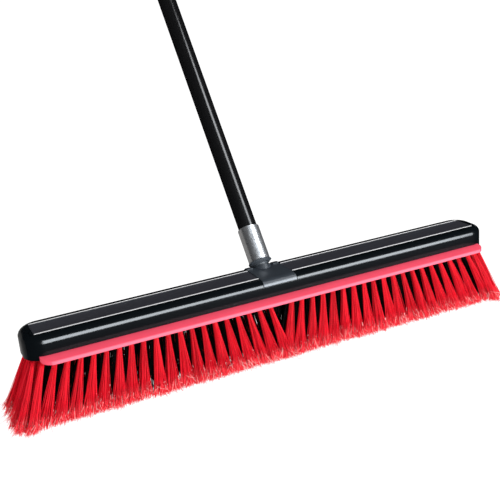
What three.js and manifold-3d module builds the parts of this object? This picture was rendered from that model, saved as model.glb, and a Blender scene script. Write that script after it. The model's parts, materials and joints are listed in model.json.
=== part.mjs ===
// Push broom: a two-colour brush head, an angled screw-in hub and a tubular handle.
// Units are millimetres and +Z is up. The origin lies on the floor, under the middle of the head.
// +X runs along the head, -Y is the side with the red bumper lip, and the handle leans towards +Y.

import * as THREE from 'three';
import { mergeVertices } from 'three/addons/utils/BufferGeometryUtils.js';
import Module from 'manifold-3d';

const wasm = await Module();
wasm.setup();

// ---------------------------------------------------------------- driving dimensions

const GAP = 0.3; // running gap between neighbouring pieces

const HEAD_LENGTH = 610;
const HEAD_WIDTH = 59;
const ROOT_Z = 75; // underside of the base, where the bristles start
const BASE_TOP_Z = 84;
const CREST_Z = 102; // highest part of the cover's shoulders
const END_RADIUS = 23; // plan corners of the cover
const EDGE_RADIUS = 8.5; // rounded upper edge of the cover
const END_SLOPE = 1.15; // how much longer that edge is at the ends of the cover
const CROWN = 0.2; // rise of the cover's top from the rounded edge to the band
const COVER_WALL = 2.6;

const BAND_HALF_WIDTH = 15.9; // satin band on top of the cover, sunk between two beads
const BAND_DEPTH = 0.3;
const BEAD_RADIUS = 1.4;
const BEAD_DROP = 0.8; // bead centre below the crest
const BEAD_HALF_LENGTH = 290;

const LIP_REACH = 17; // how far the red lip stands out in front of the cover
const LIP_THICKNESS = 3.9;
const LIP_HALF_LENGTH = 291;
const LIP_CORNER = 16;
const LIP_FALL = 1.3; // how much lower the lip's edge is than its root
const LIP_CHAMFER = 0.6; // under the lip's edge
const LIP_ROUND = 1.3; // over it
const LIP_ROOT = 8; // how far the lip's slab reaches in under the cover

const HUB_HALF_WIDTH = 22;
const HUB_REAR_HALF_WIDTH = 21;
const HUB_PROUD = 0.2;
const HUB_WALL = 3.2;
const HUB_FOOT_Z = CREST_Z - EDGE_RADIUS + 1.5;
const HUB_SEAM = 0.9; // open seam between the hub's sides and the cover
const EAR_PROUD = 1.2; // raised rear corners of the hub
const EAR_INNER_X = 14;
const EAR_INNER_Y = 18;
const SOCKET_BLOCK_HALF_WIDTH = 16;
const SOCKET_RADIUS = 13.5; // the socket's barrel, inside the head
const BOSS_TOP_S = -1.4; // and the part of it that stands out around the neck
const BOSS_OUTER_RADIUS = 11.6;
const BOSS_RIM = 0.8;
const BORE_RADIUS = 10;

const LEAN = THREE.MathUtils.degToRad(37); // handle axis from the vertical
const AXIS_Y = 23.4; // where the handle axis crosses the crest plane
const BORE_END_S = -23.5; // distances along the handle axis are measured from that crossing

const THREAD_TIP_S = -23;
const THREAD_PITCH = 5.08;
const THREAD_CREST_RADIUS = 9.55;
const THREAD_ROOT_RADIUS = 8.5;
const THREAD_TURNS = 3;
const THREAD_LEAD_IN = 1.4; // plain length before the first thread
const THREAD_FLANK = 0.8;
const THREAD_LAND = 1.5;
const NECK_RADIUS = 9.2;
const COLLAR_RADIUS = 14.9;
const COLLAR_FOOT_RADIUS = 11.4;
const COLLAR_S = 1.6;
const COLLAR_THICKNESS = 3.6;
const COLLAR_EDGE = 0.5;
const SPIGOT_RADIUS = 10.7;
const SPIGOT_LENGTH = 45;

const TUBE_RADIUS = 11.9;
const TUBE_WALL = 0.8;
const FERRULE_WALL = 1.4;
const FERRULE_LENGTH = 45;
const HANDLE_LENGTH = 1524; // from the threaded tip to the hanging end

const CAP_SKIRT = 26;
const CAP_WALL = 1.5;
const CAP_DOME = 5.5; // rise of the cap's rounded end above the tube
const TAB_LENGTH = 32;
const TAB_HALF_WIDTH = 10.5;
const TAB_THICKNESS = 6;
const HANG_HOLE_RADIUS = 5;

const COVER_SCREW_X = [-281, -190, -95, 95, 190, 281];
const HUB_SCREW_X = 8;
const HUB_SCREW_Y = -12;
const SCREW_RADIUS = 1.9;
const SCREW_HEAD_RADIUS = 4;
const SCREW_HEAD_HEIGHT = 2.4;
const SCREW_LENGTH = 17;
const SCREW_POINT = 3;
const SCREW_SLOT_HALF_WIDTH = 0.4;
const SCREW_SLOT_HALF_LENGTH = 2;
const SCREW_SLOT_DEPTH = 1.2;
const SCREW_SUNK = 1; // depth of the screw heads below the base's underside
const BOSS_RADIUS = 5;

const ROOT_HALF_LENGTH = 281; // bristle rows at the base
const TIP_HALF_LENGTH = 301; // and at the floor
const CENTRE_HALF_GAP = 13;
const TIP_HALF_GAP = 0.4; // between the left and right halves of an outer row, at the floor
const INNER_WEDGE_Z = 8; // where the two halves of an inner row meet
const END_ROOT_REACH = 294; // the fanned clusters under the head's ends
const END_TIP_REACH = 334;
const END_ROOT_HALF_WIDTH = 22;
const END_TIP_HALF_WIDTH = 44;
const BRISTLE_GAP = 0.8;

const COLOURS = {
  coverBlack: 0x15181b,
  hubGrey: 0x3c434b,
  lipRed: 0xf0405c,
  bristleRed: 0xd71f2d,
  bristleBlack: 0x0c0c0d,
  tubeBlack: 0x08090a,
  zinc: 0xb4b6b4,
  collarGrey: 0x2c3136,
  steel: 0x9a9da0,
};

// ---------------------------------------------------------------- solids and geometry

// Turns a geometry into a solid: merges shared corners and makes its faces point outwards.
function toSolid(geometry) {
  const bare = geometry.index ? geometry.toNonIndexed() : geometry.clone();
  bare.deleteAttribute('normal');
  bare.deleteAttribute('uv');
  const merged = mergeVertices(bare, 1e-4);
  const position = merged.getAttribute('position');
  const corners = withoutSlivers(merged.index.array);
  if (signedVolume(position, corners) < 0) {
    corners.reverse();
  }
  return new wasm.Manifold(new wasm.Mesh({
    numProp: 3,
    vertProperties: new Float32Array(position.array),
    triVerts: new Uint32Array(corners),
  }));
}

// Drops triangles that lost a side when their corners merged, as at the poles of a lathe.
function withoutSlivers(index) {
  const kept = [];
  for (let i = 0; i < index.length; i += 3) {
    const [a, b, c] = [index[i], index[i + 1], index[i + 2]];
    if (a !== b && b !== c && c !== a) {
      kept.push(a, b, c);
    }
  }
  return kept;
}

function signedVolume(position, corners) {
  const a = new THREE.Vector3();
  const b = new THREE.Vector3();
  const c = new THREE.Vector3();
  let volume = 0;
  for (let i = 0; i < corners.length; i += 3) {
    a.fromBufferAttribute(position, corners[i]);
    b.fromBufferAttribute(position, corners[i + 1]);
    c.fromBufferAttribute(position, corners[i + 2]);
    volume += a.dot(b.cross(c)) / 6;
  }
  return volume;
}

function toGeometry(solid) {
  const mesh = solid.getMesh();
  const geometry = new THREE.BufferGeometry();
  geometry.setAttribute('position', new THREE.BufferAttribute(new Float32Array(mesh.vertProperties), 3));
  geometry.setIndex(new THREE.BufferAttribute(new Uint32Array(mesh.triVerts), 1));
  geometry.computeVertexNormals();
  return geometry;
}

function joined(first, ...others) {
  return others.reduce((whole, other) => whole.add(other), first);
}

function cut(whole, ...tools) {
  return tools.reduce((left, tool) => left.subtract(tool), whole);
}

// A solid of revolution about +Z, from [radius, height] pairs that start and end on the axis or close.
function turned(profile, segments = 32) {
  const points = profile.map(([radius, height]) => new THREE.Vector2(radius, height));
  return toSolid(new THREE.LatheGeometry(points, segments).rotateX(Math.PI / 2));
}

function rod(radius, low, high, segments = 32) {
  return turned([[0, low], [radius, low], [radius, high], [0, high]], segments);
}

function block(lowCorner, highCorner) {
  const low = new THREE.Vector3(...lowCorner);
  const high = new THREE.Vector3(...highCorner);
  const size = high.clone().sub(low);
  const centre = low.add(high).multiplyScalar(0.5);
  return toSolid(new THREE.BoxGeometry(size.x, size.y, size.z).translate(centre.x, centre.y, centre.z));
}

// A prism over a plan outline of [x, y] points.
function standingPrism(outline, low, high) {
  const shape = new THREE.Shape(outline.map(([x, y]) => new THREE.Vector2(x, y)));
  const geometry = new THREE.ExtrudeGeometry(shape, { depth: high - low, bevelEnabled: false });
  return toSolid(geometry.translate(0, 0, low));
}

// A prism along X over a cross-section of [y, z] points.
function lyingPrism(section, low, high) {
  const shape = new THREE.Shape(section.map(([y, z]) => new THREE.Vector2(y, z)));
  const geometry = new THREE.ExtrudeGeometry(shape, { depth: high - low, bevelEnabled: false });
  geometry.rotateY(Math.PI / 2).rotateX(Math.PI / 2);
  return toSolid(geometry.translate(low, 0, 0));
}

// Rounded rectangle in plan, anticlockwise, always with the same number of points.
function roundedOutline(halfLength, halfWidth, radius, arcSteps = 8) {
  const points = [];
  const centres = [[1, 1], [-1, 1], [-1, -1], [1, -1]];
  centres.forEach(([sideX, sideY], corner) => {
    for (let step = 0; step <= arcSteps; step += 1) {
      const angle = (corner + step / arcSteps) * Math.PI / 2;
      points.push([
        sideX * (halfLength - radius) + radius * Math.cos(angle),
        sideY * (halfWidth - radius) + radius * Math.sin(angle),
      ]);
    }
  });
  return points;
}

// Skins a stack of outlines, each { outline, z }, and closes both ends with a fan.
function stacked(levels) {
  const corners = [];
  const count = levels[0].outline.length;
  const at = (level, i) => [...level.outline[i % count], level.z];
  for (let k = 0; k + 1 < levels.length; k += 1) {
    for (let i = 0; i < count; i += 1) {
      const [a, b] = [at(levels[k], i), at(levels[k], i + 1)];
      const [c, d] = [at(levels[k + 1], i), at(levels[k + 1], i + 1)];
      corners.push(...a, ...b, ...d, ...a, ...d, ...c);
    }
  }
  const bottom = levels[0];
  const top = levels[levels.length - 1];
  for (let i = 0; i < count; i += 1) {
    corners.push(0, 0, bottom.z, ...at(bottom, i + 1), ...at(bottom, i));
    corners.push(0, 0, top.z, ...at(top, i), ...at(top, i + 1));
  }
  const geometry = new THREE.BufferGeometry();
  geometry.setAttribute('position', new THREE.Float32BufferAttribute(corners, 3));
  return toSolid(geometry);
}

// Puts a solid made along +Z onto the handle's leaning axis.
function onHandleAxis(solid) {
  return solid.rotate([-THREE.MathUtils.radToDeg(LEAN), 0, 0]).translate([0, AXIS_Y, CREST_Z]);
}

const group = new THREE.Group();

function addPiece(name, solid, colour, roughness, metalness = 0) {
  const material = new THREE.MeshStandardMaterial({ color: colour, roughness, metalness });
  const mesh = new THREE.Mesh(toGeometry(solid), material);
  mesh.name = name;
  group.add(mesh);
}

// ---------------------------------------------------------------- head: cover

const HALF_LENGTH = HEAD_LENGTH / 2;
const HALF_WIDTH = HEAD_WIDTH / 2;
const LEAST_CORNER = 6;
const BEYOND = 10; // how far cutting tools run past the faces they open
const SCREW_SEAT_Z = ROOT_Z + SCREW_SUNK + SCREW_HEAD_HEIGHT;

// Inset from the side face and height, from the skirt's rim up to the top of the shoulder.
function shoulderSteps(rimZ, crestZ, edgeRadius, steps = 7) {
  const points = [[0, rimZ]];
  for (let step = 0; step <= steps; step += 1) {
    const angle = (step / steps) * Math.PI / 2;
    points.push([edgeRadius * (1 - Math.cos(angle)), crestZ - edgeRadius * (1 - Math.sin(angle))]);
  }
  return points;
}

function coverLevel(inset, z) {
  const radius = Math.max(END_RADIUS - inset, LEAST_CORNER);
  return { outline: roundedOutline(HALF_LENGTH - inset * END_SLOPE, HALF_WIDTH - inset, radius), z };
}

function bead(y) {
  const radius = BEAD_RADIUS;
  const end = BEAD_HALF_LENGTH;
  const shoulder = radius * Math.SQRT1_2;
  const profile = [[0, -end - radius], [shoulder, -end - shoulder], [radius, -end],
    [radius, end], [shoulder, end + shoulder], [0, end + radius]];
  return turned(profile, 16).rotate([0, 90, 0]).translate([0, y, CREST_Z - BEAD_DROP]);
}

function screwBoss(x, y, topZ) {
  return rod(BOSS_RADIUS, BASE_TOP_Z + GAP, topZ, 16).translate([x, y, 0]);
}

function pilotHole(x, y) {
  const high = SCREW_SEAT_Z + SCREW_LENGTH + GAP;
  return rod(SCREW_RADIUS + GAP, BASE_TOP_Z - 1, high, 16).translate([x, y, 0]);
}

// The hub's outline in plan, widened by a clearance on both sides.
function hubPlan(clearance, reach) {
  const front = HUB_HALF_WIDTH + clearance;
  const rear = HUB_REAR_HALF_WIDTH + clearance;
  return [[-front, -reach], [front, -reach], [rear, reach], [-rear, reach]];
}

function hubWindow() {
  return standingPrism(hubPlan(HUB_SEAM, HALF_WIDTH + BEYOND), HUB_FOOT_Z - GAP, CREST_Z + BEYOND);
}

function makeCover() {
  const bandEdge = HALF_WIDTH - BAND_HALF_WIDTH;
  const outer = shoulderSteps(ROOT_Z + GAP, CREST_Z - CROWN, EDGE_RADIUS).map(
    ([inset, z]) => coverLevel(inset, z),
  );
  outer.push(coverLevel(bandEdge - BEAD_RADIUS / 2, CREST_Z));
  outer.push(coverLevel(bandEdge, CREST_Z));
  outer.push(coverLevel(bandEdge + BEAD_RADIUS / 2, CREST_Z - BAND_DEPTH));
  const ceilingZ = CREST_Z - BAND_DEPTH - COVER_WALL;
  const inner = shoulderSteps(ROOT_Z - BEYOND, ceilingZ, EDGE_RADIUS - COVER_WALL).map(
    ([inset, z]) => coverLevel(inset + COVER_WALL, z),
  );
  const beads = [-1, 1].map((side) => bead(side * BAND_HALF_WIDTH));
  const bosses = COVER_SCREW_X.map((x) => screwBoss(x, 0, ceilingZ + 1));
  const shell = joined(cut(stacked(outer), stacked(inner)), ...beads, ...bosses);
  const lipSlot = block([-LIP_HALF_LENGTH - GAP, -HALF_WIDTH - BEYOND, ROOT_Z - BEYOND],
    [LIP_HALF_LENGTH + GAP, -HALF_WIDTH + LIP_ROOT, ROOT_Z + LIP_THICKNESS + LIP_FALL + GAP]);
  const half = SOCKET_BLOCK_HALF_WIDTH + GAP;
  const socketWindow = block([-half, 0, BASE_TOP_Z], [half, HALF_WIDTH + BEYOND, CREST_Z + BEYOND]);
  const barrelRoom = onHandleAxis(rod(BOSS_OUTER_RADIUS + GAP, BORE_END_S, BEYOND));
  const holes = COVER_SCREW_X.map((x) => pilotHole(x, 0));
  return cut(shell, lipSlot, hubWindow(), socketWindow, barrelRoom, ...holes);
}

addPiece('block_cover', makeCover(), COLOURS.coverBlack, 0.22);

// ---------------------------------------------------------------- head: base with the bumper lip

function makeLip() {
  const front = -HALF_WIDTH - LIP_REACH;
  const inward = -HALF_WIDTH + LIP_ROOT - GAP;
  const edgeZ = ROOT_Z + LIP_THICKNESS;
  const section = [
    [inward, ROOT_Z], [front + LIP_CHAMFER, ROOT_Z], [front, ROOT_Z + LIP_CHAMFER],
    [front, edgeZ - LIP_ROUND], [front + LIP_ROUND / 3, edgeZ - LIP_ROUND / 3], [front + LIP_ROUND, edgeZ],
    [-HALF_WIDTH, edgeZ + LIP_FALL], [inward, edgeZ + LIP_FALL],
  ];
  const strip = lyingPrism(section, -LIP_HALF_LENGTH, LIP_HALF_LENGTH);
  const plan = roundedOutline(LIP_HALF_LENGTH, HALF_WIDTH + LIP_REACH, LIP_CORNER);
  return strip.intersect(standingPrism(plan, ROOT_Z - 1, BASE_TOP_Z));
}

function screwRecess(x, y) {
  const shank = rod(SCREW_RADIUS + GAP, ROOT_Z - 1, BASE_TOP_Z + 1, 16);
  const head = rod(SCREW_HEAD_RADIUS + GAP, ROOT_Z - 1, SCREW_SEAT_Z + GAP, 24);
  return shank.add(head).translate([x, y, 0]);
}

function makeBase() {
  const clear = COVER_WALL + GAP;
  const plate = stacked([coverLevel(clear, ROOT_Z), coverLevel(clear, BASE_TOP_Z)]);
  const socketPocket = onHandleAxis(rod(SOCKET_RADIUS + GAP, BORE_END_S - HUB_WALL - GAP, 0));
  const coverScrews = COVER_SCREW_X.map((x) => screwRecess(x, 0));
  const hubScrews = [-1, 1].map((side) => screwRecess(side * HUB_SCREW_X, HUB_SCREW_Y));
  return cut(joined(plate, makeLip()), socketPocket, ...coverScrews, ...hubScrews);
}

addPiece('brush_base', makeBase(), COLOURS.lipRed, 0.4);

// ---------------------------------------------------------------- head: hub

const BELOW_HUB_Z = 70; // the hub is cut out of taller shapes between these two heights
const ABOVE_Z = 120;

// Cross-section of the head's top in Y and Z, pushed out by a distance, down to a given height.
function archSection(push, footZ) {
  const radius = EDGE_RADIUS + push;
  const centreY = HALF_WIDTH - EDGE_RADIUS;
  const centreZ = CREST_Z - EDGE_RADIUS;
  const steps = 8;
  const front = [];
  for (let step = 0; step <= steps; step += 1) {
    const angle = (step / steps) * Math.PI / 2;
    front.push([-centreY - radius * Math.cos(angle), centreZ + radius * Math.sin(angle)]);
  }
  const rear = front.map(([y, z]) => [-y, z]).reverse();
  return [[-HALF_WIDTH - push, footZ], ...front, ...rear, [HALF_WIDTH + push, footZ]];
}

// The socket for the handle: a barrel inside the head, and a low boss that stands out around the neck.
function hubSocket(outside) {
  const half = SOCKET_BLOCK_HALF_WIDTH;
  const room = block([-half, -HALF_WIDTH, ROOT_Z + GAP * 2], [half, HALF_WIDTH, ABOVE_Z]);
  const rough = onHandleAxis(rod(SOCKET_RADIUS, BORE_END_S - HUB_WALL, 0));
  const barrel = rough.intersect(room).intersect(outside);
  const boss = onHandleAxis(turned([
    [0, BORE_END_S / 2], [BOSS_OUTER_RADIUS, BORE_END_S / 2], [BOSS_OUTER_RADIUS, BOSS_TOP_S - BOSS_RIM],
    [BOSS_OUTER_RADIUS - BOSS_RIM, BOSS_TOP_S], [0, BOSS_TOP_S],
  ], 40));
  return barrel.add(boss);
}

function hubEar(side) {
  const [low, high] = [EAR_INNER_X * side, HUB_HALF_WIDTH * side].sort((a, b) => a - b);
  const corner = block([low, EAR_INNER_Y, HUB_FOOT_Z], [high, HALF_WIDTH + BEYOND, ABOVE_Z]);
  return lyingPrism(archSection(EAR_PROUD, BELOW_HUB_Z), -HUB_HALF_WIDTH, HUB_HALF_WIDTH).intersect(corner);
}

function makeHub() {
  const plan = standingPrism(hubPlan(0, HALF_WIDTH + BEYOND), HUB_FOOT_Z, ABOVE_Z);
  const along = HUB_HALF_WIDTH + 1;
  const outside = lyingPrism(archSection(HUB_PROUD, BELOW_HUB_Z), -along, along);
  const inside = lyingPrism(archSection(HUB_PROUD - HUB_WALL, BELOW_HUB_Z - 1), -along - 1, along + 1);
  const ears = [-1, 1].map(hubEar);
  const arch = cut(joined(outside, ...ears), inside).intersect(plan);
  const half = SOCKET_BLOCK_HALF_WIDTH;
  const heart = block([-half, GAP, BASE_TOP_Z + GAP], [half, HALF_WIDTH, ABOVE_Z]).intersect(outside);
  const bosses = [-1, 1].map((side) => screwBoss(side * HUB_SCREW_X, HUB_SCREW_Y, CREST_Z - 1));
  const holes = [-1, 1].map((side) => pilotHole(side * HUB_SCREW_X, HUB_SCREW_Y));
  const bore = onHandleAxis(rod(BORE_RADIUS, BORE_END_S, BEYOND));
  return cut(joined(arch, heart, hubSocket(outside), ...bosses), bore, ...holes);
}

addPiece('hub_saddle', makeHub(), COLOURS.hubGrey, 0.4);

// ---------------------------------------------------------------- head: screws

// A pan-head screw with a cross recess, head down, its head's underside at height zero.
function makeScrew() {
  const head = SCREW_HEAD_HEIGHT;
  const body = turned([
    [0, -head], [SCREW_HEAD_RADIUS * 0.55, -head], [SCREW_HEAD_RADIUS * 0.9, -head * 0.65],
    [SCREW_HEAD_RADIUS, -head * 0.3], [SCREW_HEAD_RADIUS, 0], [SCREW_RADIUS, 0],
    [SCREW_RADIUS, SCREW_LENGTH - SCREW_POINT], [0, SCREW_LENGTH],
  ], 16);
  const slot = block([-SCREW_SLOT_HALF_LENGTH, -SCREW_SLOT_HALF_WIDTH, -head - 1],
    [SCREW_SLOT_HALF_LENGTH, SCREW_SLOT_HALF_WIDTH, -head + SCREW_SLOT_DEPTH]);
  return cut(body, slot, slot.rotate([0, 0, 90]));
}

COVER_SCREW_X.forEach((x, index) => {
  addPiece(`cover_screw_${index + 1}`, makeScrew().translate([x, 0, SCREW_SEAT_Z]), COLOURS.steel, 0.35, 1);
});
[-1, 1].forEach((side) => {
  const name = side < 0 ? 'hub_screw_left' : 'hub_screw_right';
  const place = [side * HUB_SCREW_X, HUB_SCREW_Y, SCREW_SEAT_Z];
  addPiece(name, makeScrew().translate(place), COLOURS.steel, 0.35, 1);
});

// ---------------------------------------------------------------- handle

// The threaded end: crest rings at the thread's pitch, a neck, a collar and a spigot for the tube.
function makeThreadedEnd() {
  const profile = [[0, THREAD_TIP_S], [THREAD_ROOT_RADIUS - 1, THREAD_TIP_S]];
  profile.push([THREAD_ROOT_RADIUS, THREAD_TIP_S + 1]);
  const start = THREAD_TIP_S + THREAD_LEAD_IN;
  for (let turn = 0; turn < THREAD_TURNS; turn += 1) {
    const rise = start + turn * THREAD_PITCH;
    const fall = rise + THREAD_FLANK + THREAD_LAND;
    profile.push([THREAD_ROOT_RADIUS, rise], [THREAD_CREST_RADIUS, rise + THREAD_FLANK]);
    profile.push([THREAD_CREST_RADIUS, fall], [THREAD_ROOT_RADIUS, fall + THREAD_FLANK]);
  }
  const neckS = start + THREAD_TURNS * THREAD_PITCH;
  const collarTop = COLLAR_S + COLLAR_THICKNESS;
  profile.push([THREAD_ROOT_RADIUS, neckS], [NECK_RADIUS, neckS + THREAD_FLANK], [NECK_RADIUS, COLLAR_S - 1]);
  profile.push([NECK_RADIUS + 1, COLLAR_S], [COLLAR_FOOT_RADIUS, COLLAR_S]);
  profile.push([COLLAR_RADIUS - COLLAR_EDGE, collarTop - 3 * COLLAR_EDGE]);
  profile.push([COLLAR_RADIUS, collarTop - 2 * COLLAR_EDGE]);
  profile.push([COLLAR_RADIUS - COLLAR_EDGE, collarTop], [SPIGOT_RADIUS, collarTop]);
  const spigotTop = collarTop + SPIGOT_LENGTH;
  profile.push([SPIGOT_RADIUS, spigotTop - 1], [SPIGOT_RADIUS - 1, spigotTop], [0, spigotTop]);
  return turned(profile);
}

function sleeve(innerRadius, outerRadius, low, high, segments = 40) {
  return turned([
    [innerRadius, low], [outerRadius, low], [outerRadius, high], [innerRadius, high], [innerRadius, low],
  ], segments);
}

const FERRULE_S = COLLAR_S + COLLAR_THICKNESS + GAP;
const HANDLE_TOP_S = THREAD_TIP_S + HANDLE_LENGTH;
const TUBE_TOP_S = HANDLE_TOP_S - TAB_LENGTH;

function makeFerrule() {
  const inner = TUBE_RADIUS + GAP;
  const outer = inner + FERRULE_WALL;
  const high = FERRULE_S + FERRULE_LENGTH;
  const edge = FERRULE_WALL / 3;
  return turned([
    [inner, FERRULE_S], [outer - edge, FERRULE_S], [outer, FERRULE_S + edge], [outer, high - edge],
    [outer - edge, high], [inner, high], [inner, FERRULE_S],
  ], 40);
}

function makeEndCap() {
  const inner = TUBE_RADIUS + GAP;
  const outer = inner + CAP_WALL;
  const top = TUBE_TOP_S + GAP;
  const rim = top - CAP_SKIRT;
  const edge = CAP_WALL / 3;
  const sleeveAndDome = turned([
    [inner, rim], [outer - edge, rim], [outer, rim + edge], [outer, top],
    [outer * 0.93, top + CAP_DOME * 0.4], [outer * 0.7, top + CAP_DOME * 0.8], [0, top + CAP_DOME],
    [0, top], [inner, top], [inner, rim],
  ], 32);
  const tabCentre = HANDLE_TOP_S - TAB_HALF_WIDTH;
  const across = TAB_THICKNESS / 2;
  const eye = rod(TAB_HALF_WIDTH, -across, across).rotate([0, 90, 0]).translate([0, 0, tabCentre]);
  const stem = block([-across, -TAB_HALF_WIDTH, top + 1], [across, TAB_HALF_WIDTH, tabCentre]);
  const hole = rod(HANG_HOLE_RADIUS, -BEYOND, BEYOND, 24).rotate([0, 90, 0]).translate([0, 0, tabCentre]);
  return cut(joined(sleeveAndDome, eye, stem), hole);
}

addPiece('threaded_end', onHandleAxis(makeThreadedEnd()), COLOURS.collarGrey, 0.45);
addPiece('ferrule', onHandleAxis(makeFerrule()), COLOURS.zinc, 0.35, 0.9);
addPiece('handle_tube', onHandleAxis(sleeve(TUBE_RADIUS - TUBE_WALL, TUBE_RADIUS, FERRULE_S, TUBE_TOP_S)),
  COLOURS.tubeBlack, 0.18, 0.3);
addPiece('handle_end_cap', onHandleAxis(makeEndCap()), COLOURS.coverBlack, 0.4);

// ---------------------------------------------------------------- bristles

// Rows drawn as one closed solid each. across.root and across.tip are [lowest, highest] Y, and outline is
// the row's side view in X and Z, so that the row leans and widens evenly towards the floor.
function bristleRow(outline, across) {
  const section = outline.map(([x, z]) => new THREE.Vector2(x, z));
  const geometry = new THREE.ExtrudeGeometry(new THREE.Shape(section), { depth: 1, bevelEnabled: false });
  const position = geometry.getAttribute('position');
  for (let i = 0; i < position.count; i += 1) {
    const fall = (BRISTLE_TOP_Z - position.getY(i)) / BRISTLE_TOP_Z;
    const low = THREE.MathUtils.lerp(across.root[0], across.tip[0], fall);
    const high = THREE.MathUtils.lerp(across.root[1], across.tip[1], fall);
    const y = THREE.MathUtils.lerp(low, high, position.getZ(i));
    position.setXYZ(i, position.getX(i), y, position.getY(i));
  }
  return toSolid(geometry);
}

const BRISTLE_TOP_Z = ROOT_Z - GAP;

function halfRow(side) {
  return [
    [side * CENTRE_HALF_GAP, BRISTLE_TOP_Z], [side * TIP_HALF_GAP, 0],
    [side * TIP_HALF_LENGTH, 0], [side * ROOT_HALF_LENGTH, BRISTLE_TOP_Z],
  ];
}

// The two halves of an inner row meet at the tips, under a wedge of open space at the middle.
function wholeRow() {
  return [
    [-CENTRE_HALF_GAP, BRISTLE_TOP_Z], [0, INNER_WEDGE_Z], [CENTRE_HALF_GAP, BRISTLE_TOP_Z],
    [ROOT_HALF_LENGTH, BRISTLE_TOP_Z], [TIP_HALF_LENGTH, 0],
    [-TIP_HALF_LENGTH, 0], [-ROOT_HALF_LENGTH, BRISTLE_TOP_Z],
  ];
}

// Limits in Y of the rows from the middle outwards, at the root and at the tip.
const ROWS = {
  core: { root: [-9.2, 9.2], tip: [-13, 13] },
  inner: { root: [9.8, 18.6], tip: [13.6, 25.4] },
  outer: { root: [19.2, 27.8], tip: [26, 38] },
};

function mirrored(across) {
  return { root: [-across.root[1], -across.root[0]], tip: [-across.tip[1], -across.tip[0]] };
}

function endCluster(side) {
  const outline = [
    [side * (ROOT_HALF_LENGTH + BRISTLE_GAP), BRISTLE_TOP_Z], [side * (TIP_HALF_LENGTH + BRISTLE_GAP), 0],
    [side * END_TIP_REACH, 0], [side * END_ROOT_REACH, BRISTLE_TOP_Z],
  ];
  return bristleRow(outline, {
    root: [-END_ROOT_HALF_WIDTH, END_ROOT_HALF_WIDTH],
    tip: [-END_TIP_HALF_WIDTH, END_TIP_HALF_WIDTH],
  });
}

const RED = COLOURS.bristleRed;
const BLACK = COLOURS.bristleBlack;

addPiece('bristles_middle_rows', bristleRow(wholeRow(), ROWS.core), BLACK, 0.7);
addPiece('bristles_inner_front_row', bristleRow(wholeRow(), mirrored(ROWS.inner)), BLACK, 0.7);
addPiece('bristles_inner_rear_row', bristleRow(wholeRow(), ROWS.inner), BLACK, 0.7);
[-1, 1].forEach((side) => {
  const hand = side < 0 ? 'left' : 'right';
  addPiece(`bristles_front_row_${hand}`, bristleRow(halfRow(side), mirrored(ROWS.outer)), RED, 0.6);
  addPiece(`bristles_rear_row_${hand}`, bristleRow(halfRow(side), ROWS.outer), RED, 0.6);
  addPiece(`bristles_end_${hand}`, endCluster(side), RED, 0.6);
});

export default group;
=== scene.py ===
import json
import math

import bpy
import numpy as np
from mathutils import Matrix, Vector


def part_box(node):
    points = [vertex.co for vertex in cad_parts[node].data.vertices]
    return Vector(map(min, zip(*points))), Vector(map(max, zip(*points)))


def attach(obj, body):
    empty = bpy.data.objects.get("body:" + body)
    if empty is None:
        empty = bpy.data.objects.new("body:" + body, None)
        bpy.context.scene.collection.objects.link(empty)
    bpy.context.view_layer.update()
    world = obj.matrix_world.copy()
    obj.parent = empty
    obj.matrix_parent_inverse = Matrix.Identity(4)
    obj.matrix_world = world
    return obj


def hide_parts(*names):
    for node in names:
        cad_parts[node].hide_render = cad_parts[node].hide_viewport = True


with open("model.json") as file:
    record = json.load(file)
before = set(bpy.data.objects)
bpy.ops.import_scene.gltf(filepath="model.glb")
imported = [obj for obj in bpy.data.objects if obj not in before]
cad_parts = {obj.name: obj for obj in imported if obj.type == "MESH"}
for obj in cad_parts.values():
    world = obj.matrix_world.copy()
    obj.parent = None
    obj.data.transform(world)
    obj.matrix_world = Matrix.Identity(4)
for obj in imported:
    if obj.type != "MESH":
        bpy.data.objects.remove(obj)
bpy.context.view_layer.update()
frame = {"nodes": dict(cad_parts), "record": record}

RECORD = frame["record"]
MM = 0.001

# ------------------------------------------------------------------ camera and studio

CAMERA_PLACE = Vector((-0.4169, -0.9058, 0.4755))
CAMERA_AZIMUTH = math.radians(23.486)  # from +Y towards +X
CAMERA_PITCH = math.radians(19.08)  # downwards
CAMERA_ROLL = math.radians(-5.104)
CAMERA_LENS = 63.155  # mm
CAMERA_SENSOR = 36.0  # mm
FLOOR_REACH = 14.0  # m, from the middle to each edge
HEAD_MIDDLE = (0.0, 0.0, 0.08)
BLUISH = (0.88, 0.94, 1.0)
COOL = (0.93, 0.96, 1.0)
WARM = (1.0, 0.98, 0.95)


def add_camera():
    data = bpy.data.cameras.new("camera")
    data.lens = CAMERA_LENS
    data.sensor_width = CAMERA_SENSOR
    data.clip_start = 0.05
    data.clip_end = 60.0
    camera = bpy.data.objects.new("camera", data)
    bpy.context.scene.collection.objects.link(camera)
    forward = Vector((
        math.sin(CAMERA_AZIMUTH) * math.cos(CAMERA_PITCH),
        math.cos(CAMERA_AZIMUTH) * math.cos(CAMERA_PITCH),
        -math.sin(CAMERA_PITCH),
    ))
    level_right = Vector((math.cos(CAMERA_AZIMUTH), -math.sin(CAMERA_AZIMUTH), 0.0))
    level_up = level_right.cross(forward)
    right = level_right * math.cos(CAMERA_ROLL) + level_up * math.sin(CAMERA_ROLL)
    up = level_up * math.cos(CAMERA_ROLL) - level_right * math.sin(CAMERA_ROLL)
    turn = Matrix((right, up, -forward)).transposed().to_4x4()
    camera.matrix_world = Matrix.Translation(CAMERA_PLACE) @ turn
    bpy.context.scene.camera = camera


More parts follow.
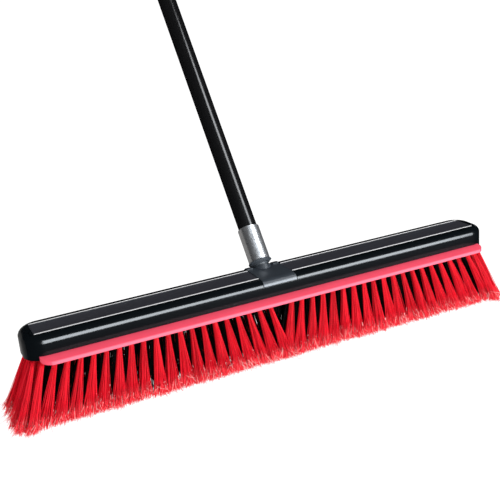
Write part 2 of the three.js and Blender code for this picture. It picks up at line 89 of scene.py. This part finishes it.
def add_softbox(name, place, target, size, watts, colour=(1.0, 1.0, 1.0), diffuse=True, glossy=True):
    data = bpy.data.lights.new(name, "AREA")
    data.shape = "RECTANGLE"
    data.size, data.size_y = size
    data.energy = watts
    data.color = colour
    lamp = bpy.data.objects.new(name, data)
    bpy.context.scene.collection.objects.link(lamp)
    lamp.location = place
    lamp.rotation_euler = (Vector(target) - Vector(place)).to_track_quat("-Z", "Y").to_euler()
    lamp.visible_camera = False
    lamp.visible_diffuse = diffuse
    lamp.visible_glossy = glossy
    return lamp


def light_only(lamp, names):
    """Keeps the lamp's light to these CAD nodes."""
    subjects = bpy.data.collections.new(f"{lamp.name}_subjects")
    for name in names:
        subjects.objects.link(frame["nodes"][name])
    lamp.light_linking.receiver_collection = subjects


def add_studio():
    """A white floor in white light, a key lamp, and three lamps that only make reflections."""
    scene = bpy.context.scene
    scene.view_settings.view_transform = "Standard"
    world = bpy.data.worlds.new("studio")
    scene.world = world
    world.use_nodes = True
    surround = world.node_tree.nodes["Background"]
    surround.inputs["Color"].default_value = (1.0, 1.0, 1.0, 1.0)
    surround.inputs["Strength"].default_value = 1.0
    world.cycles_visibility.glossy = False
    floor_mesh = bpy.data.meshes.new("floor")
    corners = [(x * FLOOR_REACH, y * FLOOR_REACH, 0) for x, y in ((-1, -1), (1, -1), (1, 1), (-1, 1))]
    floor_mesh.from_pydata(corners, [], [(0, 1, 2, 3)])
    floor = bpy.data.objects.new("floor", floor_mesh)
    scene.collection.objects.link(floor)
    paint = bpy.data.materials.new("floor_paint")
    paint.use_nodes = True
    shader = paint.node_tree.nodes["Principled BSDF"]
    shader.inputs["Base Color"].default_value = (0.1, 0.1, 0.1, 1.0)
    shader.inputs["Roughness"].default_value = 0.9
    shader.inputs["Specular IOR Level"].default_value = 0.0
    shader.inputs["Emission Color"].default_value = (1.0, 1.0, 1.0, 1.0)
    shader.inputs["Emission Strength"].default_value = 1.0
    floor_mesh.materials.append(paint)
    floor.visible_glossy = False
    floor.visible_shadow = False
    add_softbox("key", place=(0.95, -2.1, 0.75), target=HEAD_MIDDLE, size=(1.6, 1.0), watts=54,
                glossy=False)
    add_softbox("strip_reflection", place=(0.80, -2.05, 0.62), target=(0.8, 0.0, 0.1), size=(2.8, 1.55),
                watts=600, colour=BLUISH, diffuse=False)
    above = add_softbox("tube_reflection", place=(1.04, -1.04, 1.79), target=(0.0, 0.1, 0.25),
                        size=(0.7, 1.5), watts=33, colour=COOL, diffuse=False)
    light_only(above, ["handle_tube", "handle_end_cap", "ferrule", "threaded_end", "hub_saddle"])
    # this one shines up through the floor, which casts no shadow
    behind = add_softbox("left_reflection", place=(-0.9, 1.4, -0.1), target=(0.0, 0.1, 0.15),
                         size=(2.6, 1.1), watts=3, colour=WARM, diffuse=False)
    light_only(behind, ["ferrule", "block_cover"])


# ------------------------------------------------------------------ material helpers


class Finish:
    """A node material with short calls for the nodes that the finishes here share."""

    def __init__(self, name):
        self.material = bpy.data.materials.new(name)
        self.material.use_nodes = True
        self.tree = self.material.node_tree
        self.shader = self.tree.nodes["Principled BSDF"]
        self.place = self.node("ShaderNodeTexCoord").outputs["Object"]

    def node(self, kind, **settings):
        made = self.tree.nodes.new(kind)
        for key, value in settings.items():
            setattr(made, key, value)
        return made

    def link(self, source, socket):
        self.tree.links.new(source, socket)

    def feed(self, made, values):
        for key, value in values.items():
            if hasattr(value, "is_output"):
                self.link(value, made.inputs[key])
            else:
                made.inputs[key].default_value = value

    def set(self, **values):
        for key, value in values.items():
            self.shader.inputs[key.replace("_", " ")].default_value = value

    def stretched(self, scale):
        mapping = self.node("ShaderNodeMapping")
        self.feed(mapping, {"Vector": self.place, "Scale": scale})
        return mapping.outputs["Vector"]

    def noise(self, scale, detail=3.0, rough=0.5, stretch=(1, 1, 1)):
        made = self.node("ShaderNodeTexNoise")
        self.feed(made, {"Vector": self.stretched(stretch), "Scale": scale})
        self.feed(made, {"Detail": detail, "Roughness": rough})
        return made.outputs["Fac"]

    def cells(self, scale, stretch=(1, 1, 1)):
        made = self.node("ShaderNodeTexVoronoi", feature="F1")
        self.feed(made, {"Vector": self.stretched(stretch), "Scale": scale})
        return made.outputs["Distance"]

    def math(self, operation, a, b=0.0):
        made = self.node("ShaderNodeMath", operation=operation)
        self.feed(made, {0: a, 1: b})
        return made.outputs[0]

    def ranged(self, value, low, high, to_low=0.0, to_high=1.0):
        made = self.node("ShaderNodeMapRange", interpolation_type="SMOOTHSTEP")
        self.feed(made, {"Value": value, "From Min": low, "From Max": high})
        self.feed(made, {"To Min": to_low, "To Max": to_high})
        return made.outputs["Result"]

    def mix(self, share, a, b):
        """Two colours mixed: a colour goes in at the node's sockets 6 and 7, and comes out at 2."""
        made = self.node("ShaderNodeMix", data_type="RGBA")
        self.feed(made, {0: share, 6: a, 7: b})
        return made.outputs[2]

    def bump(self, height, strength, distance):
        made = self.node("ShaderNodeBump")
        self.feed(made, {"Height": height, "Strength": strength, "Distance": distance})
        self.link(made.outputs["Normal"], self.shader.inputs["Normal"])

    def axes(self):
        made = self.node("ShaderNodeSeparateXYZ")
        self.feed(made, {"Vector": self.place})
        return made.outputs

    def attribute(self, name):
        return self.node("ShaderNodeAttribute", attribute_name=name).outputs["Fac"]

    def colour(self, source):
        self.link(source, self.shader.inputs["Base Color"])

    def roughness(self, source):
        self.link(source, self.shader.inputs["Roughness"])


def rgb(red, green, blue):
    return (red, green, blue, 1.0)


# ------------------------------------------------------------------ finishes

CREST_Z = 102 * MM  # of the cover, below its two beads
BAND_TOP = (CREST_Z - 1.6 * MM, CREST_Z - 0.9 * MM)
BEAD_RISE = (CREST_Z + 0.02 * MM, CREST_Z + 0.12 * MM)
BEAD_Y = 16 * MM
BEAD_BACK = (BEAD_Y - 0.8 * MM, BEAD_Y - 0.3 * MM)  # painted highlight: the rear bead is painted pale only on its front side, up to its crest
BAND_EDGE = 14.9 * MM
BAND_SIDE = (BAND_EDGE - 0.4 * MM, BAND_EDGE + 0.4 * MM)  # the satin band lies between the beads
BAND_LENGTH = 291 * MM  # to each side of the middle
BAND_END = (BAND_LENGTH - 1.0 * MM, BAND_LENGTH + 1.0 * MM)
LIP_FRONT_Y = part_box("brush_base")[0].y
# painted highlight: the lip's front edge is coloured lighter where light catches it
LIP_EDGE = (LIP_FRONT_Y + 1.0 * MM, LIP_FRONT_Y + 2.2 * MM)


def cover_finish():
    f = Finish("moulded_black")
    x, y, z = f.axes()
    in_width = f.ranged(f.math("ABSOLUTE", y), *BAND_SIDE, 1.0, 0.0)
    in_length = f.ranged(f.math("ABSOLUTE", x), *BAND_END, 1.0, 0.0)
    on_top = f.ranged(z, *BAND_TOP)
    on_band = f.math("MULTIPLY", f.math("MULTIPLY", in_width, in_length), on_top)
    raised = f.ranged(z, *BEAD_RISE)
    # painted highlight mask: the beads, the rear one only on its front side
    bead_painted_highlight = f.math("MULTIPLY", raised, f.ranged(y, *BEAD_BACK, 1.0, 0.0))
    grain = f.noise(260, 4.0, 0.6)
    flow = f.noise(9, 3.0, 0.5, (0.4, 5, 5))
    moulded = f.mix(on_band, f.mix(flow, rgb(0.0022, 0.0034, 0.0044), rgb(0.0028, 0.0040, 0.0052)),
                    f.mix(grain, rgb(0.0225, 0.023, 0.030), rgb(0.0285, 0.029, 0.037)))
    # painted highlight: the beads are coloured pale grey where light would catch them
    f.colour(f.mix(bead_painted_highlight, moulded, f.mix(grain, rgb(0.48, 0.48, 0.49), rgb(0.56, 0.56, 0.57))))
    glossy = f.ranged(flow, 0.3, 0.7, 0.16, 0.19)
    satin = f.ranged(grain, 0.3, 0.7, 0.42, 0.5)
    f.roughness(f.math("ADD", f.math("MULTIPLY", on_band, satin),
                       f.math("MULTIPLY", f.math("SUBTRACT", 1.0, on_band), glossy)))
    f.bump(f.noise(900, 2.0), 0.05, 0.0002)
    f.set(Specular_IOR_Level=0.15)
    return f.material


def base_finish():
    f = Finish("moulded_red")
    lines = f.noise(1.0, 2.0, 0.5, (3, 1400, 1400))
    cloud = f.noise(22, 3.0)
    y = f.axes()["Y"]
    lip_edge_painted_highlight = f.ranged(y, *LIP_EDGE, 1.0, 0.0)
    body = f.mix(cloud, rgb(0.79, 0.066, 0.116), rgb(0.86, 0.082, 0.140))
    # painted highlight: a lighter, pinker colour on the lip's front edge
    f.colour(f.mix(lip_edge_painted_highlight, body, rgb(0.90, 0.14, 0.21)))
    f.roughness(f.ranged(lines, 0.3, 0.7, 0.5, 0.62))
    f.bump(lines, 0.12, 0.0002)
    f.set(Specular_IOR_Level=0.04)
    return f.material


def hub_finish():
    f = Finish("moulded_slate")
    grain = f.noise(1500, 3.0, 0.6)
    cloud = f.noise(30, 3.0)
    f.colour(f.mix(cloud, rgb(0.020, 0.025, 0.032), rgb(0.026, 0.032, 0.040)))
    f.roughness(f.ranged(grain, 0.3, 0.7, 0.28, 0.36))
    f.set(Specular_IOR_Level=0.2)
    f.bump(grain, 0.1, 0.0002)
    return f.material


def zinc_finish():
    f = Finish("zinc_plate")
    spangle = f.cells(260)
    drawn = f.noise(1.0, 3.0, 0.6, (900, 60, 60))
    cloud = f.noise(120, 4.0, 0.6)
    f.colour(f.mix(cloud, rgb(0.42, 0.42, 0.43), rgb(0.58, 0.59, 0.60)))
    f.roughness(f.math("ADD", f.ranged(spangle, 0.0, 0.8, 0.24, 0.27), f.ranged(drawn, 0.3, 0.7, 0.0, 0.03)))
    f.bump(f.math("ADD", drawn, spangle), 0.01, 0.0001)
    f.set(Metallic=0.92)
    return f.material


def tube_finish():
    f = Finish("powder_coat_black")
    peel = f.noise(420, 2.0, 0.5)
    scuffs = f.noise(1.0, 5.0, 0.7, (300, 30, 30))
    f.colour(f.mix(scuffs, rgb(0.0035, 0.0035, 0.004), rgb(0.0055, 0.0055, 0.006)))
    f.roughness(f.ranged(scuffs, 0.35, 0.75, 0.16, 0.20))
    f.bump(peel, 0.015, 0.0003)
    return f.material


def collar_finish():
    f = Finish("moulded_dark_grey")
    grain = f.noise(1200, 3.0, 0.6)
    f.colour(f.mix(grain, rgb(0.036, 0.044, 0.054), rgb(0.056, 0.066, 0.078)))
    f.roughness(f.ranged(grain, 0.3, 0.7, 0.28, 0.4))
    f.bump(grain, 0.08, 0.0002)
    return f.material


def screw_finish():
    f = Finish("plated_steel")
    cloud = f.noise(500, 3.0)
    f.colour(f.mix(cloud, rgb(0.40, 0.40, 0.40), rgb(0.58, 0.58, 0.57)))
    f.roughness(f.ranged(cloud, 0.3, 0.7, 0.25, 0.4))
    f.set(Metallic=1.0)
    return f.material


def cap_finish():
    f = Finish("moulded_cap_black")
    grain = f.noise(1100, 3.0, 0.6)
    f.colour(f.mix(grain, rgb(0.009, 0.009, 0.010), rgb(0.015, 0.015, 0.017)))
    f.roughness(f.ranged(grain, 0.3, 0.7, 0.38, 0.5))
    f.bump(grain, 0.12, 0.0002)
    return f.material


def filament_finish(name, deep, bright, end_painted_light, tip, tip_share):
    """Bristle filaments with their own shade and streaks, painted light near the ends, and some pale split
    hairs.
    """
    f = Finish(name)
    shade = f.attribute("shade")
    along = f.attribute("along")
    streak = f.noise(1.0, 2.0, 0.5, (900, 900, 25))
    pale = f.attribute("pale")
    body = f.mix(f.math("ADD", f.math("MULTIPLY", shade, 0.8), f.math("MULTIPLY", streak, 0.2)), deep, bright)
    near_end = f.ranged(along, 0.72, 0.92)
    # painted light: the filaments are coloured brighter towards their ends, as if less shaded
    body = f.mix(f.math("MULTIPLY", near_end, 0.75), body, end_painted_light)
    frayed = f.math("MULTIPLY", near_end, f.math("MULTIPLY", pale, tip_share))
    f.colour(f.mix(frayed, body, tip))
    f.roughness(f.ranged(shade, 0.0, 1.0, 0.34, 0.5))
    f.set(Specular_IOR_Level=0.03)
    return f.material


# ------------------------------------------------------------------ CAD nodes that stay

SHARP_ANGLE = 28  # degrees
WELD_DISTANCE = 0.005 * MM


def smoothing_group(limit_degrees):
    """A geometry node group that shades a mesh smooth except along edges sharper than the limit."""
    group = bpy.data.node_groups.new("smooth_by_angle", "GeometryNodeTree")
    group.interface.new_socket("Geometry", in_out="INPUT", socket_type="NodeSocketGeometry")
    group.interface.new_socket("Geometry", in_out="OUTPUT", socket_type="NodeSocketGeometry")
    start = group.nodes.new("NodeGroupInput")
    end = group.nodes.new("NodeGroupOutput")
    smooth = group.nodes.new("GeometryNodeSetShadeSmooth")
    sharp = group.nodes.new("GeometryNodeSetShadeSmooth")
    sharp.domain = "EDGE"
    sharp.inputs["Shade Smooth"].default_value = False
    angle = group.nodes.new("GeometryNodeInputMeshEdgeAngle")
    over = group.nodes.new("ShaderNodeMath")
    over.operation = "GREATER_THAN"
    over.inputs[1].default_value = math.radians(limit_degrees)
    link = group.links.new
    link(start.outputs[0], smooth.inputs["Geometry"])
    link(smooth.outputs[0], sharp.inputs["Geometry"])
    link(angle.outputs["Unsigned Angle"], over.inputs[0])
    link(over.outputs[0], sharp.inputs["Selection"])
    link(sharp.outputs[0], end.inputs[0])
    return group


def finish_node(name, material, smoothing):
    """Gives a CAD node its material and smooth shading, and leaves its shape alone."""
    node = frame["nodes"][name]
    weld = node.modifiers.new("weld", "WELD")
    weld.merge_threshold = WELD_DISTANCE
    shade = node.modifiers.new("shade", "NODES")
    shade.node_group = smoothing
    node.data.materials.clear()
    node.data.materials.append(material)


# ------------------------------------------------------------------ bristles

# where the tufts stand in the brush base
ROOT_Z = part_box("brush_base")[0].z  # the base's underside
SUNK = 1.5 * MM  # how far a tuft's roots reach into the base
HOLE_RADIUS = 2.1 * MM  # of the tuft holes, which the CAD leaves out
TUFT_PITCH = 14.2 * MM
FIRST_TUFT_X = 16.5 * MM
TUFTS_PER_HALF = 19
OUTER_ROW_Y = 23.5 * MM
INNER_ROW_Y = 14.2 * MM
MIDDLE_ROW_Y = 4.8 * MM
END_COLUMN_X = (285.5 * MM, 295 * MM)
END_COLUMN_Y = ([-20, -12, -4, 4, 12, 20], [-16, -8, 0, 8, 16])  # mm
SCREW_BOXES = [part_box(name) for name in frame["nodes"] if "_screw_" in name]
SCREW_CLEARANCE = 0.9 * MM  # from a screw's head to the middle of a filament

# where they end on the floor
CENTRE_FAN = math.radians(13)  # the tufts by the middle lean in, and those by the ends lean out
END_FAN = math.radians(21)
OUTER_TIP_Y = 35 * MM
INNER_TIP_Y = 20.5 * MM
MIDDLE_TIP_Y = 6.8 * MM
OUTER_SPREAD = (10.2 * MM, 5.6 * MM)  # half the size of a tuft at the floor, in X and in Y
INNER_SPREAD = (9.8 * MM, 6.2 * MM)
END_SPREAD = (7 * MM, 6 * MM)
END_REACH = {"left": 325.5 * MM, "right": 319.5 * MM}  # of an end's outer column
END_COLUMN_GAP = 10.5 * MM
END_SPLAY = 2.15  # how much wider than its roots an end cluster is at the floor
WANDER = 0.8 * MM  # of a row's tufts
END_WANDER = 1 * MM
TIP_SCATTER = 0.8 * MM
TIP_Z = 0.3 * MM
TIP_UNEVENNESS = 1 * MM

# filaments, and the hairs that each one's tip is split into
OUTER_COUNT, INNER_COUNT, MIDDLE_COUNT, END_COUNT = 70, 48, 40, 64  # filaments in a tuft
RED_HAIRS, BLACK_HAIRS = 3, 1  # of each filament
RED_STRAYS, BLACK_STRAYS = 0.11, 0.03  # share of hairs that are pale and loose
THICKNESS = 0.8 * MM
BOW = 0.7 * MM  # of a shaft
FLARE = 1.8  # above 1, a tuft opens out late on its way down
LEAST_SPLIT, MOST_SPLIT = 6 * MM, 15 * MM  # length of the split end
THICKNESS_RANGE = (0.75, 1.15)  # of a shaft
TUFT_TONE = 0.35  # share of a filament's shade that is its tuft's
STRAY_SWING, HAIR_SWING = 0.34, 0.11  # sideways, as a share of the hair's reach
KICK, CURL = 1.6, np.array([2, 2, 1])  # at most, of that swing
HAIR_REACH = (0.85, 1.05)  # of the way from the shaft's end to the tip
HAIR_RADIUS, PALE_THINNING = 0.40, 0.14  # as shares of the filament's thickness
# a shaft's paleness is a painted highlight; the hairs' paleness is their own pale frayed tips
SHAFT_GLINT_PALENESS, HAIR_PALENESS, STRAY_PALENESS = 0.4, 0.02, (0.5, 1)
HAIR_SHADE = 0.25  # how much a hair's shade differs from its shaft's
LEAST_HAIR_Z = 0.25 * MM
SHAFT_STEPS = np.linspace(0, 1, 6)
HAIR_STEPS = np.array([-0.08, 0.3, 0.65, 1.0])  # a hair starts inside its shaft
HAIR_TAPER = np.array([1.0, 1.0, 0.9, 0.6])
SIDES = 3  # of the tube that each filament is
ACROSS = [0.0, 1.0, 0.12]  # the direction from which a tube's sides are turned


def tube_faces(rings):
    """Triangles of one three-sided tube of so many rings, closed at both ends."""
    faces = [(0, 2, 1)]
    for k in range(rings - 1):
        for side in range(SIDES):
            a, b = SIDES * k + side, SIDES * k + (side + 1) % SIDES
            faces += [(a, b, b + SIDES), (a, b + SIDES, a + SIDES)]
    top = SIDES * (rings - 1)
    faces.append((top, top + 1, top + 2))
    return np.array(faces)


def tube_corners(paths, radii, spin):
    """Corners of many tubes: paths is (count, rings, 3), radii is (count, rings) and spin is (count)."""
    ahead = np.gradient(paths, axis=1)
    ahead /= np.linalg.norm(ahead, axis=2, keepdims=True)
    side = np.cross(ahead, ACROSS)
    side /= np.linalg.norm(side, axis=2, keepdims=True)
    over = np.cross(ahead, side)
    corners = []
    for k in range(SIDES):
        angle = spin[:, None, None] + k * 2 * math.pi / SIDES
        corners.append(paths + (side * np.cos(angle) + over * np.sin(angle)) * radii[:, :, None])
    return np.stack(corners, axis=2)


def clear_of_screws(roots):
    """Moves the roots that would stand in a screw's head out past its rim."""
    for low, high in SCREW_BOXES:
        centre = np.array([(low.x + high.x) / 2, (low.y + high.y) / 2])
        rim = (high.x - low.x) / 2 + SCREW_CLEARANCE
        away = roots[:, :2] - centre
        gap = np.linalg.norm(away, axis=1, keepdims=True)
        roots[:, :2] = np.where(gap < rim, centre + away / gap * rim, roots[:, :2])


class Filaments:
    """Gathers tufts of filaments with split tips, and turns them into one mesh."""

    def __init__(self, seed, hairs, strays):
        self.rng = np.random.default_rng(seed)
        self.hairs = hairs
        self.strays = strays
        self.roots, self.leans, self.tips, self.tones = [], [], [], []

    def add_tuft(self, root, tip, spread, count):
        """Filaments packed in a circle at root that fan out into an oval around tip."""
        rng = self.rng
        k = np.arange(count) + 0.5
        radius = np.sqrt(k / count)
        angle = k * math.pi * (3 - math.sqrt(5)) + rng.uniform(0, 2 * math.pi)
        places = np.stack([radius * np.cos(angle), radius * np.sin(angle)], axis=1)
        roots = np.empty((count, 3))
        roots[:, :2] = root + places * HOLE_RADIUS
        roots[:, 2] = ROOT_Z + SUNK
        clear_of_screws(roots)
        tips = np.empty((count, 3))
        tips[:, :2] = tip + places * spread + rng.normal(0, TIP_SCATTER, (count, 2))
        tips[:, 2] = TIP_Z + np.abs(rng.normal(0, TIP_UNEVENNESS, count))
        leans = np.empty((count, 3))
        leans[:, :2] = np.array(tip) - root
        leans[:, 2] = tips[:, 2] - roots[:, 2]
        self.roots.append(roots)
        self.leans.append(leans)
        self.tips.append(tips)
        self.tones.append(np.full(count, rng.uniform()))

    def parts(self):
        """The shafts, and then each set of hairs: their corners, places along, shades and paleness."""
        rng = self.rng
        roots, leans, tips = (np.concatenate(part) for part in (self.roots, self.leans, self.tips))
        tone = np.concatenate(self.tones)
        count = len(roots)
        spin = rng.uniform(0, 2 * math.pi, count)
        shade = (1 - TUFT_TONE) * rng.uniform(0, 1, count) + TUFT_TONE * tone
        length = np.linalg.norm(tips - roots, axis=1)
        split = 1 - rng.uniform(LEAST_SPLIT, MOST_SPLIT, count) / length
        share = SHAFT_STEPS[None, :] * split[:, None]
        bow = rng.normal(0, BOW, (count, 3))
        shafts = roots[:, None, :] + leans[:, None, :] * share[:, :, None]
        shafts += (tips - roots - leans)[:, None, :] * share[:, :, None] ** FLARE
        shafts += np.sin(share * math.pi)[:, :, None] * bow[:, None, :]
        radii = np.ones(share.shape) * (THICKNESS / 2 * rng.uniform(*THICKNESS_RANGE, count))[:, None]
        pale = rng.uniform(0, 1, count) ** 10 * SHAFT_GLINT_PALENESS  # painted highlight: pale streaks near the ends of a few shafts, next to nothing on most
        made = [(tube_corners(shafts, radii, spin), share, shade, pale)]
        ends = shafts[:, -1, :]
        for _ in range(self.hairs):
            made.append(self.hair_set(ends, tips - ends, spin, shade, split))
        return made

    def hair_set(self, ends, onward, spin, shade, split):
        """One hair from each shaft's end, onward to the filament's tip."""
        rng = self.rng
        count = len(ends)
        steps = np.maximum(HAIR_STEPS, 0)
        stray = rng.uniform(0, 1, count) < self.strays
        pale = np.where(stray, rng.uniform(*STRAY_PALENESS, count), HAIR_PALENESS)
        swing = np.where(stray, STRAY_SWING, HAIR_SWING)[:, None]
        reach = np.linalg.norm(onward, axis=1) * rng.uniform(*HAIR_REACH, count)
        ahead = onward / np.linalg.norm(onward, axis=1, keepdims=True)
        kick = rng.uniform(-KICK, KICK, (count, 3)) * swing
        curl = rng.uniform(-CURL, CURL, (count, 3)) * swing
        paths = ends[:, None, :] + reach[:, None, None] * (
            ahead[:, None, :] * HAIR_STEPS[None, :, None] + kick[:, None, :] * steps[None, :, None]
            + curl[:, None, :] * steps[None, :, None] ** 2
        )
        paths[:, :, 2] = np.maximum(paths[:, :, 2], LEAST_HAIR_Z)
        radius = THICKNESS * (HAIR_RADIUS - PALE_THINNING * pale)
        along = split[:, None] + (1 - split[:, None]) * steps[None, :]
        hair_shade = np.clip(shade + rng.normal(0, HAIR_SHADE, count), 0, 1)
        radii = radius[:, None] * HAIR_TAPER[None, :]
        return tube_corners(paths, radii, spin), along, hair_shade, pale

    def mesh(self, name, material):
        """All the tubes as one mesh, with what the material reads of each as attributes."""
        corners, faces, layers = [], [], {"along": [], "shade": [], "pale": []}
        start = 0
        for points, along, shade, pale in self.parts():
            count, rings = points.shape[:2]
            size = rings * SIDES
            offsets = start + np.arange(count)[:, None, None] * size
            corners.append(points.reshape(-1, 3))
            faces.append((tube_faces(rings)[None, :, :] + offsets).reshape(-1, 3))
            layers["along"].append(np.repeat(along, SIDES, axis=1).ravel())
            layers["shade"].append(np.repeat(shade, size))
            layers["pale"].append(np.repeat(pale, size))
            start += count * size
        corners, faces = np.concatenate(corners), np.concatenate(faces)
        mesh = bpy.data.meshes.new(name)
        mesh.vertices.add(len(corners))
        mesh.vertices.foreach_set("co", corners.astype(np.float32).ravel())
        mesh.loops.add(len(faces) * 3)
        mesh.loops.foreach_set("vertex_index", faces.astype(np.int32).ravel())
        mesh.polygons.add(len(faces))
        mesh.polygons.foreach_set("loop_start", np.arange(0, len(faces) * 3, 3, dtype=np.int32))
        mesh.update(calc_edges=True)
        for key, values in layers.items():
            layer = mesh.attributes.new(key, "FLOAT", "POINT")
            layer.data.foreach_set("value", np.concatenate(values).astype(np.float32))
        mesh.shade_smooth()
        mesh.materials.append(material)
        return mesh

    def piece(self, name, material, node):
        """Puts the filaments in the scene on the head, in place of the CAD's plain solid."""
        made = bpy.data.objects.new(name, self.mesh(name, material))
        bpy.context.scene.collection.objects.link(made)
        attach(made, "head")
        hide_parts(node)


def tuft_places(side, steps):
    """Root and tip places in X of one half's tufts, from the middle outwards."""
    for k in steps:
        x = FIRST_TUFT_X + k * TUFT_PITCH
        fan = -CENTRE_FAN + (CENTRE_FAN + END_FAN) * k / (TUFTS_PER_HALF - 1)
        yield side * x, side * (x + ROOT_Z * math.tan(fan))


def add_row(row, steps, sides, y_root, y_tip, spread, count):
    """A row of tufts along the head, on one or both sides of its middle."""
    for side in sides:
        for x_root, x_tip in tuft_places(side, steps):
            wander = row.rng.normal(0, WANDER, 2)
            row.add_tuft((x_root, y_root), np.array([x_tip, y_tip]) + wander, spread, count)


def add_end(cluster, side, reach):
    """The fanned red tufts under a rounded end of the head: two columns, the outer one out to reach."""
    for x_root, x_tip, rows in zip(END_COLUMN_X, (reach - END_COLUMN_GAP, reach), END_COLUMN_Y):
        for y in rows:
            tip = np.array([side * x_tip, y * END_SPLAY * MM]) + cluster.rng.normal(0, END_WANDER, 2)
            cluster.add_tuft((side * x_root, y * MM), tip, END_SPREAD, END_COUNT)


def add_bristles():
    """Nine pieces, each with its own seed, in place of the nine bristle solids."""
    # the third colour of each finish is painted light near the filaments' ends
    red = filament_finish(
        "red_filament", rgb(0.58, 0.006, 0.016), rgb(0.96, 0.011, 0.031), rgb(0.98, 0.042, 0.064),
        rgb(1.0, 0.70, 0.68), 0.9)
    black = filament_finish(
        "black_filament", rgb(0.002, 0.002, 0.002), rgb(0.008, 0.007, 0.007), rgb(0.010, 0.008, 0.008),
        rgb(0.05, 0.04, 0.04), 0.5)
    halves = (("left", -1), ("right", 1))
    in_line = np.arange(TUFTS_PER_HALF)
    staggered = np.arange(TUFTS_PER_HALF + 1) - 0.5
    for k, (depth, sign) in enumerate((("front", -1), ("rear", 1))):
        for hand, side in halves:
            row = Filaments(10 + 4 * k + side, RED_HAIRS, RED_STRAYS)
            add_row(row, in_line, [side], sign * OUTER_ROW_Y, sign * OUTER_TIP_Y, OUTER_SPREAD, OUTER_COUNT)
            row.piece(f"tufts_{depth}_{hand}", red, f"bristles_{depth}_row_{hand}")
        row = Filaments(30 + k, BLACK_HAIRS, BLACK_STRAYS)
        add_row(row, in_line, [-1, 1], sign * INNER_ROW_Y, sign * INNER_TIP_Y, INNER_SPREAD, INNER_COUNT)
        row.piece(f"tufts_inner_{depth}", black, f"bristles_inner_{depth}_row")
    row = Filaments(41, BLACK_HAIRS, BLACK_STRAYS)
    for sign, steps in ((-1, staggered), (1, in_line)):
        add_row(row, steps, [-1, 1], sign * MIDDLE_ROW_Y, sign * MIDDLE_TIP_Y, INNER_SPREAD, MIDDLE_COUNT)
    row.piece("tufts_middle", black, "bristles_middle_rows")
    for hand, side in halves:
        cluster = Filaments(50 + side, RED_HAIRS, RED_STRAYS)
        add_end(cluster, side, END_REACH[hand])
        cluster.piece(f"tufts_end_{hand}", red, f"bristles_end_{hand}")


# ------------------------------------------------------------------ build

add_camera()
add_studio()

smooth = smoothing_group(SHARP_ANGLE)
FINISHES = {
    "cover_black": cover_finish(),
    "base_red": base_finish(),
    "hub_grey": hub_finish(),
    "zinc_steel": zinc_finish(),
    "tube_black": tube_finish(),
    "collar_grey": collar_finish(),
    "screw_steel": screw_finish(),
    "cap_black": cap_finish(),
}
for subpart in RECORD["subparts"]:
    if subpart["material_slot"] in FINISHES:
        finish_node(subpart["node"], FINISHES[subpart["material_slot"]], smooth)
add_bristles()
